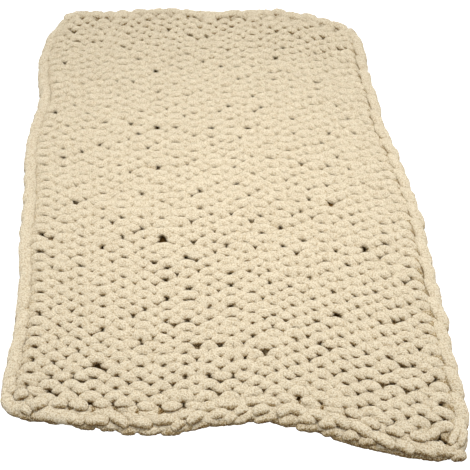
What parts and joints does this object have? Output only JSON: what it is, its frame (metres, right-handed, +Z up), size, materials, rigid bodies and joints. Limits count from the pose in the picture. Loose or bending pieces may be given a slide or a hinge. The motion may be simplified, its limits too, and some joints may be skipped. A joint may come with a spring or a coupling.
{
  "type": "chunky knit blanket",
  "caption": "Chunky knit throw blanket lying flat, purl side up, with plump chenille loops, rope-like side edges, chained ends and an uneven hand-knitted outline.",
  "frame": {"origin": "on the flat underside, at the middle of the box that holds the blanket", "axes": "+X across the blanket to its right side, +Y along it from the near end to the far end, +Z up out of the cloth"},
  "size_m": [1.1184, 1.6054, 0.051],
  "materials": {
    "cream_chenille": "matte short chenille pile"
  },
  "bodies": {
    "root": {"blanket": "cream_chenille"}
  },
  "joints": []
}
